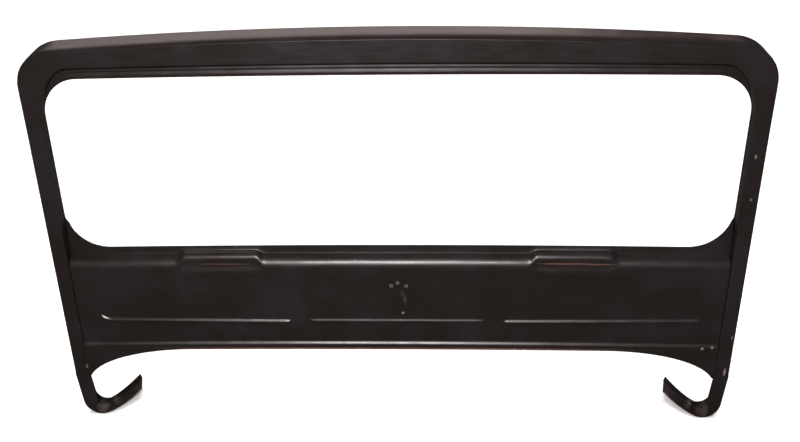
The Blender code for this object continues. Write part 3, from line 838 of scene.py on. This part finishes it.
# Node settings used again and again
SMOOTH = {"interpolation_type": "SMOOTHSTEP"}
TIMES = {"operation": "MULTIPLY"}
IN_COLOUR = {"data_type": "RGBA"}
IN_VALUE = {"data_type": "FLOAT"}


def add_node(tree, kind, settings=None, values=None, links=None):
    """Add a shader node, set its properties and socket values, and link sockets into it."""
    node = tree.nodes.new(kind)
    for name, value in (settings or {}).items():
        setattr(node, name, value)
    for socket, value in (values or {}).items():
        node.inputs[socket].default_value = value
    for socket, source in (links or {}).items():
        tree.links.new(source, node.inputs[socket])
    return node


def start_material(name):
    """A new material, its node tree, its shader, and the place on a piece in metres."""
    material = bpy.data.materials.new(name)
    material.use_nodes = True
    tree = material.node_tree
    place = add_node(tree, "ShaderNodeTexCoord").outputs["Object"]
    return material, tree, tree.nodes["Principled BSDF"], place


def opaque(colour):
    """A colour with full alpha, for a node socket."""
    return (colour[0], colour[1], colour[2], 1.0)


def patch(tree, place, noise, mark):
    """A spot with ragged edges. The mark gives its centre, half sizes and strength."""
    centre, size, strength = mark
    near = add_node(
        tree,
        "ShaderNodeMapping",
        {"vector_type": "TEXTURE"},
        {"Location": Vector(centre) + SHIFT, "Scale": size},
        {"Vector": place},
    )
    far = add_node(tree, "ShaderNodeVectorMath", {"operation": "LENGTH"}, links={0: near.outputs[0]})
    ragged = add_node(
        tree,
        "ShaderNodeMath",
        {"operation": "MULTIPLY_ADD"},
        {1: RAGGEDNESS},
        {0: noise, 2: far.outputs["Value"]},
    )
    return add_node(
        tree,
        "ShaderNodeMapRange",
        SMOOTH,
        {"From Min": PATCH_EDGE, "From Max": PATCH_FULL, "To Max": strength},
        {"Value": ragged.outputs[0]},
    ).outputs[0]


def joined(tree, masks):
    """The strongest of several masks."""
    total = masks[0]
    for mask in masks[1:]:
        total = add_node(
            tree, "ShaderNodeMath", {"operation": "MAXIMUM"}, links={0: total, 1: mask}
        ).outputs[0]
    return total


def tinted(tree, base, colour, amount):
    """Mix a colour over a base by a mask."""
    return add_node(tree, "ShaderNodeMix", IN_COLOUR, {7: opaque(colour)}, {0: amount, 6: base}).outputs[2]


def black_coat(name, scuffs=(), rust=(), dust_streaks=0.5, bare_edges=0.0):
    """Black cathodic electro-coat, dipped and baked on pressed steel.

    A thin, semi-gloss film over the fine orange peel of the baked resin. It is a little brown where it is
    thin, dusty on the faces that look up, rubbed grey where it was handled or welded, and rusts first in the
    folds and edges that the dip drains from.
    """
    look = bpy.context.scene.coat_look
    material, tree, shader, place = start_material(name)
    # Clouds of thicker and thinner film, about 120 mm across
    clouds = add_node(
        tree, "ShaderNodeTexNoise", values={"Scale": 1.0 / 0.120, "Detail": 4.0}, links={"Vector": place}
    )
    # Handling dust and wiped patches: long along the frame, about 60 mm by 12 mm
    along = add_node(
        tree,
        "ShaderNodeMapping",
        values={"Scale": (1.0 / 0.060, 1.0 / 0.030, 1.0 / 0.012)},
        links={"Vector": place},
    )
    smears = add_node(
        tree,
        "ShaderNodeTexNoise",
        values={"Scale": 1.0, "Detail": 6.0, "Roughness": 0.62},
        links={"Vector": along.outputs[0]},
    )
    # Specks of settled dust, drawn at 3 mm because the real 0.3 mm ones are too fine to show
    specks = add_node(
        tree, "ShaderNodeTexNoise", values={"Scale": 1.0 / 0.003, "Detail": 3.0}, links={"Vector": place}
    )
    # Ragged edges for scuffs and rust, about 5 mm
    ragged = add_node(
        tree,
        "ShaderNodeTexNoise",
        values={"Scale": 1.0 / 0.005, "Detail": 4.0, "Roughness": 0.7},
        links={"Vector": place},
    )
    thin = add_node(
        tree,
        "ShaderNodeMapRange",
        SMOOTH,
        {"From Min": 0.40, "From Max": 0.66},
        {"Value": clouds.outputs[0]},
    )
    colour = add_node(
        tree,
        "ShaderNodeMix",
        IN_COLOUR,
        {6: opaque(look.coat), 7: opaque(look.coat_tint)},
        {0: thin.outputs[0]},
    ).outputs[2]
    facing = add_node(tree, "ShaderNodeNewGeometry")
    parts = add_node(tree, "ShaderNodeSeparateXYZ", links={0: facing.outputs["Normal"]})
    upward = add_node(
        tree,
        "ShaderNodeMapRange",
        SMOOTH,
        {"From Min": 0.95, "From Max": 1.0},
        {"Value": parts.outputs["Z"]},
    )
    settled = add_node(
        tree,
        "ShaderNodeMapRange",
        SMOOTH,
        {"From Min": 0.34, "From Max": 0.70},
        {"Value": smears.outputs[0]},
    )
    dusty = add_node(tree, "ShaderNodeMath", TIMES, links={0: upward.outputs[0], 1: settled.outputs[0]})
    dusty = add_node(tree, "ShaderNodeMath", TIMES, {1: dust_streaks}, {0: dusty.outputs[0]})
    grain = add_node(
        tree,
        "ShaderNodeMapRange",
        values={"From Min": 0.25, "From Max": 0.75, "To Min": 0.6, "To Max": 1.0},
        links={"Value": specks.outputs[0]},
    )
    dusty = add_node(
        tree, "ShaderNodeMath", TIMES, links={0: dusty.outputs[0], 1: grain.outputs[0]}
    ).outputs[0]
    colour = tinted(tree, colour, look.dust, dusty)
    # The film pulls back from the glass flange's edge, which faces down, and shows the red-brown primer
    under = add_node(
        tree,
        "ShaderNodeMapRange",
        SMOOTH,
        {"From Min": -0.45, "From Max": -0.95, "To Max": bare_edges},
        {"Value": parts.outputs["Z"]},
    )
    depths = add_node(tree, "ShaderNodeSeparateXYZ", links={0: place})
    flange = add_node(
        tree,
        "ShaderNodeMapRange",
        values={"From Min": SHIFT.y + 0.0180, "From Max": SHIFT.y + 0.0190},
        links={"Value": depths.outputs["Y"]},
    )
    primer = add_node(tree, "ShaderNodeMath", TIMES, links={0: under.outputs[0], 1: flange.outputs[0]})
    colour = tinted(tree, colour, look.rust, primer.outputs[0])
    # Gloss changes with the film and the wiping
    rough = add_node(
        tree,
        "ShaderNodeMapRange",
        values={
            "From Min": 0.3,
            "From Max": 0.7,
            "To Min": look.roughness - 0.05,
            "To Max": look.roughness + 0.07,
        },
        links={"Value": smears.outputs[0]},
    ).outputs[0]
    if rust:
        rusty = joined(tree, [patch(tree, place, ragged.outputs[0], mark) for mark in rust])
        colour = tinted(tree, colour, look.rust, rusty)
        dulled = add_node(tree, "ShaderNodeMix", IN_VALUE, {3: RUST_ROUGHNESS}, {0: rusty, 2: rough})
        rough = dulled.outputs[0]
    if scuffs:
        rubbed = joined(tree, [patch(tree, place, ragged.outputs[0], mark) for mark in scuffs])
        colour = tinted(tree, colour, look.bare_metal, rubbed)
        tree.links.new(rubbed, shader.inputs["Metallic"])
    tree.links.new(colour, shader.inputs["Base Color"])
    tree.links.new(rough, shader.inputs["Roughness"])
    shader.inputs["IOR"].default_value = 1.50
    # Orange peel of the baked film, 2.5 mm, under waves that the press leaves, 55 mm
    peel = add_node(
        tree, "ShaderNodeTexNoise", values={"Scale": 1.0 / 0.0025, "Detail": 2.0}, links={"Vector": place}
    )
    waves = add_node(
        tree, "ShaderNodeTexNoise", values={"Scale": 1.0 / 0.055, "Detail": 1.0}, links={"Vector": place}
    )
    pressed = add_node(
        tree,
        "ShaderNodeBump",
        values={"Strength": 1.0, "Distance": 0.0008},
        links={"Height": waves.outputs[0]},
    )
    skin = add_node(
        tree,
        "ShaderNodeBump",
        values={"Strength": 0.35, "Distance": 0.0001},
        links={"Height": peel.outputs[0], "Normal": pressed.outputs[0]},
    )
    tree.links.new(skin.outputs[0], shader.inputs["Normal"])
    return material


def inner_steel(name, colour):
    """Mild steel plate in the thin, dull coat that reaches inside a box section.

    The dip leaves less film there, so mill scale and rolling lines still show through as fine streaks.
    """
    material, tree, shader, place = start_material(name)
    # Rolling lines, 1.5 mm apart and 40 mm long
    rolled = add_node(
        tree,
        "ShaderNodeMapping",
        values={"Scale": (1.0 / 0.040, 1.0 / 0.0015, 1.0 / 0.0015)},
        links={"Vector": place},
    )
    lines = add_node(
        tree,
        "ShaderNodeTexNoise",
        values={"Scale": 1.0, "Detail": 4.0},
        links={"Vector": rolled.outputs[0]},
    )
    # Blotches of thin film, 18 mm
    blotch = add_node(
        tree, "ShaderNodeTexNoise", values={"Scale": 1.0 / 0.018, "Detail": 3.0}, links={"Vector": place}
    )
    thin = add_node(
        tree,
        "ShaderNodeMapRange",
        SMOOTH,
        {"From Min": 0.45, "From Max": 0.75, "To Max": 0.6},
        {"Value": blotch.outputs[0]},
    )
    dark = add_node(
        tree,
        "ShaderNodeMix",
        IN_COLOUR,
        {6: opaque(linear(colour)), 7: opaque(linear("3A302A"))},
        {0: thin.outputs[0]},
    )
    tree.links.new(dark.outputs[2], shader.inputs["Base Color"])
    gloss = add_node(
        tree,
        "ShaderNodeMapRange",
        values={"To Min": 0.42, "To Max": 0.66},
        links={"Value": lines.outputs[0]},
    )
    tree.links.new(gloss.outputs[0], shader.inputs["Roughness"])
    relief = add_node(
        tree,
        "ShaderNodeBump",
        values={"Strength": 0.4, "Distance": 0.0001},
        links={"Height": lines.outputs[0]},
    )
    tree.links.new(relief.outputs[0], shader.inputs["Normal"])
    return material


def zinc_plate(name):
    """Bright zinc plate on forged weld nuts.

    Pale blue-grey metal with a fine crystalline bloom, a little yellowed where the passivation is thick.
    """
    material, tree, shader, place = start_material(name)
    # Zinc crystals, 1.2 mm
    bloom = add_node(tree, "ShaderNodeTexVoronoi", values={"Scale": 1.0 / 0.0012}, links={"Vector": place})
    # Passivation film, 6 mm
    film = add_node(
        tree, "ShaderNodeTexNoise", values={"Scale": 1.0 / 0.006, "Detail": 3.0}, links={"Vector": place}
    )
    colour = add_node(
        tree,
        "ShaderNodeMix",
        IN_COLOUR,
        {6: opaque(linear("A9ADB0")), 7: opaque(linear("B3A888"))},
        {0: film.outputs[0]},
    )
    tree.links.new(colour.outputs[2], shader.inputs["Base Color"])
    shader.inputs["Metallic"].default_value = 1.0
    gloss = add_node(
        tree,
        "ShaderNodeMapRange",
        values={"To Min": 0.28, "To Max": 0.50},
        links={"Value": bloom.outputs["Distance"]},
    )
    tree.links.new(gloss.outputs[0], shader.inputs["Roughness"])
    relief = add_node(
        tree,
        "ShaderNodeBump",
        values={"Strength": 0.3, "Distance": 0.00005},
        links={"Height": bloom.outputs["Distance"]},
    )
    tree.links.new(relief.outputs[0], shader.inputs["Normal"])
    return material


def studio_floor(colour):
    """Pale matt studio floor, rolled paint with a faint mottle."""
    material, tree, shader, place = start_material("studio_floor")
    mottle = add_node(
        tree, "ShaderNodeTexNoise", values={"Scale": 6.0, "Detail": 2.0}, links={"Vector": place}
    )
    pale = tuple(0.985 * v for v in colour)
    mixed = add_node(
        tree, "ShaderNodeMix", IN_COLOUR, {6: opaque(pale), 7: opaque(colour)}, {0: mottle.outputs[0]}
    )
    tree.links.new(mixed.outputs[2], shader.inputs["Base Color"])
    shader.inputs["Roughness"].default_value = 0.9
    shader.inputs["Specular IOR Level"].default_value = 0.1
    return material


# Operators


class FRAME_OT_header(bpy.types.Operator):
    """Model the header's cabin-side and forward-side skins"""

    bl_idname = "windshield_frame.header"
    bl_label = "Header"

    def execute(self, context):
        path = header_path()
        coat = black_coat("electrocoat_header", dust_streaks=0.50, bare_edges=0.8)
        columns = [section_points(o, i, cabin_stations(h, 1.0)) for o, i, h in path]
        form = shaped_sheet(columns, flip=False)
        add_piece("header_cabin_skin", form, coat, ("header_inner",), SKIN)
        columns = [section_points(o, i, forward_stations(h, 1.0)) for o, i, h in path]
        form = shaped_sheet(columns, flip=True)
        add_piece("header_forward_skin", form, coat, ("header_outer",), SKIN)
        return {"FINISHED"}


class FRAME_OT_pillars(bpy.types.Operator):
    """Model both skins of both pillars"""

    bl_idname = "windshield_frame.pillars"
    bl_label = "Pillars"

    def execute(self, context):
        path = pillar_path()
        scuffs = [
            ((0.7206, 0.0, 0.1388), (0.0026, 0.010, 0.005), 0.30),
            ((0.7232, 0.0, 0.0462), (0.0024, 0.010, 0.004), 0.25),
            ((0.7261, 0.0, -0.2780), (0.0022, 0.010, 0.005), 0.30),
            ((-0.7010, 0.0, -0.3577), (0.0040, 0.010, 0.007), 0.20),
            ((0.7209, 0.0, -0.3650), (0.0030, 0.010, 0.011), 0.40),
        ]
        coat = black_coat("electrocoat_pillars", scuffs=scuffs)
        cabin = [section_points(o, i, cabin_stations(h, lip_amount(o[1]))) for o, i, h in path]
        forward = [section_points(o, i, forward_stations(h, lip_amount(o[1]))) for o, i, h in path]
        for columns, name, node, flip in (
            (cabin, "pillar_cabin_skin_", "pillar_inner_", True),
            (forward, "pillar_forward_skin_", "pillar_outer_", False),
        ):
            form = shaped_sheet(columns, flip)
            add_piece(name + "right", form, coat, (node + "right",), SKIN)
            form = shaped_sheet(mirrored(columns), not flip)
            add_piece(name + "left", form, coat, (node + "left",), SKIN)
        return {"FINISHED"}


class FRAME_OT_lower_panels(bpy.types.Operator):
    """Model the two skins below the window, with their ribs, recesses and holes"""

    bl_idname = "windshield_frame.lower_panels"
    bl_label = "Lower panels"

    def execute(self, context):
        shape = context.scene.pressed_shape
        scuffs = [((x, 0.0, z), (0.0040, 0.004, 0.0040), 0.55) for x, z in SCREW_HOLES]
        scuffs += [
            ((0.0136, 0.0, -0.2184), (0.0034, 0.004, 0.0030), 0.45),
            ((0.0125, 0.0, -0.1700), (0.0040, 0.004, 0.0080), 0.03),
            ((0.0180, 0.0, -0.1860), (0.0040, 0.004, 0.0120), 0.04),
            ((-0.0864, 0.002, -0.0951), (0.0016, 0.008, 0.0030), 0.25),
            ((-0.2107, -0.004, -0.3076), (0.0050, 0.006, 0.0030), 0.35),
            ((0.2582, -0.004, -0.3080), (0.0050, 0.006, 0.0030), 0.35),
            ((0.2800, -0.004, -0.3080), (0.0040, 0.006, 0.0030), 0.35),
            ((0.6640, -0.0045, -0.3030), (0.0042, 0.004, 0.0036), 0.40),
            ((0.6850, -0.0045, -0.3000), (0.0042, 0.004, 0.0036), 0.30),
        ]
        rust = [
            ((0.360, 0.003, -0.1008), (0.060, 0.006, 0.0022), 0.40),
            ((0.425, 0.003, -0.1022), (0.040, 0.006, 0.0020), 0.40),
            ((-0.370, 0.003, -0.1022), (0.060, 0.006, 0.0018), 0.25),
            ((0.0, -0.0045, -0.3068), (0.520, 0.006, 0.0042), 0.50),
        ]
        coat = black_coat("electrocoat_panel", scuffs=scuffs, rust=rust)
        columns = panel_columns(cabin_panel_column, panel_side, shape)
        form = shaped_sheet(with_side_returns(columns), flip=True)
        add_piece("lower_cabin_panel", form, coat, ("lower_inner_panel",), SKIN, SCREW_HOLES, SCREW_RADIUS)
        columns = panel_columns(forward_panel_column, forward_panel_side, shape)
        form = shaped_sheet(columns, flip=False)
        coat = black_coat("electrocoat_forward_panel")
        add_piece(
            "lower_forward_panel", form, coat, ("lower_outer_panel",), SKIN, HINGE_BOLTS, HINGE_BOLT_RADIUS
        )
        return {"FINISHED"}


class FRAME_OT_feet(bpy.types.Operator):
    """Model the two curled feet"""

    bl_idname = "windshield_frame.feet"
    bl_label = "Feet"

    def execute(self, context):
        scuffs = [((0.620, 0.060, -0.4620), (0.010, 0.012, 0.006), 0.30)]
        coat = black_coat("electrocoat_feet", scuffs=scuffs, dust_streaks=0.25)
        columns = foot_columns()
        form = shaped_sheet(columns, flip=False)
        add_piece("foot_right_hook", form, coat, ("foot_right",), FOOT_GAUGE)
        form = shaped_sheet(mirrored(columns), flip=True)
        add_piece("foot_left_hook", form, coat, ("foot_left",), FOOT_GAUGE)
        return {"FINISHED"}


class FRAME_OT_inner_steel(bpy.types.Operator):
    """Finish the plates, reinforcements and weld nuts that keep their CAD shape"""

    bl_idname = "windshield_frame.inner_steel"
    bl_label = "Inner steel"

    def execute(self, context):
        looks = {
            "gusset": inner_steel("coated_gusset_plate", "1D1A18"),
            "doubler": inner_steel("coated_doubler_plate", "201C1A"),
            "reinforcement": inner_steel("coated_channel", "1B1816"),
            "plate": inner_steel("coated_tapping_plate", "24201D"),
            "nut": zinc_plate("zinc_plated_nut"),
        }
        for name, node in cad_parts.items():
            for word, material in looks.items():
                if word in name and not node.hide_render:
                    for material_slot in node.material_slots:
                        material_slot.material = material
        return {"FINISHED"}


class FRAME_OT_stage(bpy.types.Operator):
    """Set out the floor, the soft lights and the camera"""

    bl_idname = "windshield_frame.stage"
    bl_label = "Stage"

    def execute(self, context):
        look = context.scene.stage_look
        form = bmesh.new()
        bmesh.ops.create_grid(form, x_segments=4, y_segments=4, size=FLOOR_HALF_SIZE)
        bmesh.ops.translate(form, verts=form.verts[:], vec=(0.0, 0.0, CAD_LOW.z))
        floor = add_mesh_object("floor", form)
        floor.data.materials.append(studio_floor(look.floor))
        floor.visible_glossy = False
        add_soft_box("front_soft_box", FRONT_BOX_PLACE, FRONT_BOX_SIZE, look.front_light, FRONT_BOX_COLOUR)
        add_soft_box("back_soft_box", BACK_BOX_PLACE, BACK_BOX_SIZE, look.back_light, BACK_BOX_COLOUR)
        sun = bpy.data.lights.new("floor_light", "SUN")
        sun.energy = look.floor_light
        sun.angle = SUN_ANGLE
        overhead = bpy.data.objects.new("floor_light", sun)
        context.scene.collection.objects.link(overhead)
        overhead.visible_glossy = False
        set_surround(look.surround)
        lens = bpy.data.cameras.new("camera")
        lens.sensor_width = SENSOR_WIDTH
        lens.lens = FOCAL_LENGTH
        camera = bpy.data.objects.new("camera", lens)
        camera.location = CAMERA_PLACE
        camera.rotation_euler = [math.radians(angle) for angle in CAMERA_TURN]
        context.scene.collection.objects.link(camera)
        context.scene.camera = camera
        context.scene.view_settings.view_transform = "Standard"
        return {"FINISHED"}


def add_soft_box(name, location, size, power, colour):
    """A rectangular soft box aimed at the middle of the frame."""
    light = bpy.data.lights.new(name, "AREA")
    light.shape = "RECTANGLE"
    light.size, light.size_y = size
    light.energy = power
    light.color = colour
    box = bpy.data.objects.new(name, light)
    box.location = location
    box.rotation_euler = (-Vector(location)).to_track_quat("-Z", "Y").to_euler()
    box.visible_camera = False
    bpy.context.scene.collection.objects.link(box)


def set_surround(brightness):
    """A dim room with a paler floor below and behind, and white where the camera looks past the frame."""
    world = bpy.data.worlds.new("studio")
    bpy.context.scene.world = world
    world.use_nodes = True
    tree = world.node_tree
    background = tree.nodes["Background"]
    direction = add_node(tree, "ShaderNodeTexCoord").outputs["Generated"]
    parts = add_node(tree, "ShaderNodeSeparateXYZ", links={0: direction})
    below = add_node(
        tree,
        "ShaderNodeMapRange",
        SMOOTH,
        {"From Min": -0.02, "From Max": -0.30},
        {"Value": parts.outputs["Z"]},
    )
    behind = add_node(
        tree,
        "ShaderNodeMapRange",
        SMOOTH,
        {"From Min": -0.45, "From Max": 0.25},
        {"Value": parts.outputs["Y"]},
    )
    floor = add_node(tree, "ShaderNodeMath", TIMES, links={0: below.outputs[0], 1: behind.outputs[0]})
    room = add_node(
        tree,
        "ShaderNodeMapRange",
        values={"To Min": brightness, "To Max": 2.0 * brightness},
        links={"Value": floor.outputs[0]},
    )
    seen = add_node(tree, "ShaderNodeLightPath")
    shown = add_node(
        tree, "ShaderNodeMix", IN_VALUE, {3: 1.0}, {0: seen.outputs["Is Camera Ray"], 2: room.outputs[0]}
    )
    tree.links.new(shown.outputs[0], background.inputs["Strength"])
    background.inputs["Color"].default_value = (1.0, 1.0, 0.985, 1.0)


class FRAME_PT_build(bpy.types.Panel):
    """Sizes, colours and build steps"""

    bl_label = "Windshield Frame"
    bl_space_type = "VIEW_3D"
    bl_region_type = "UI"
    bl_category = "Windshield Frame"

    def draw(self, context):
        for group in (context.scene.pressed_shape, context.scene.coat_look, context.scene.stage_look):
            box = self.layout.box()
            for name in group.__annotations__:
                box.prop(group, name)
        for operator in STEPS:
            self.layout.operator(operator.bl_idname)


GROUPS = (("pressed_shape", PressedShape), ("coat_look", CoatLook), ("stage_look", StageLook))
STEPS = (
    FRAME_OT_stage,
    FRAME_OT_header,
    FRAME_OT_pillars,
    FRAME_OT_lower_panels,
    FRAME_OT_feet,
    FRAME_OT_inner_steel,
)


def register():
    """Register the settings, operators and panel."""
    for name, group in GROUPS:
        bpy.utils.register_class(group)
        setattr(bpy.types.Scene, name, PointerProperty(type=group))
    for operator in STEPS:
        bpy.utils.register_class(operator)
    bpy.utils.register_class(FRAME_PT_build)


def unregister():
    """Remove the panel, operators and settings."""
    bpy.utils.unregister_class(FRAME_PT_build)
    for operator in reversed(STEPS):
        bpy.utils.unregister_class(operator)
    for name, group in reversed(GROUPS):
        delattr(bpy.types.Scene, name)
        bpy.utils.unregister_class(group)


def main():
    """Build everything in order."""
    register()
    bpy.ops.windshield_frame.stage()
    bpy.ops.windshield_frame.header()
    bpy.ops.windshield_frame.pillars()
    bpy.ops.windshield_frame.lower_panels()
    bpy.ops.windshield_frame.feet()
    bpy.ops.windshield_frame.inner_steel()


if __name__ == "__main__":
    main()
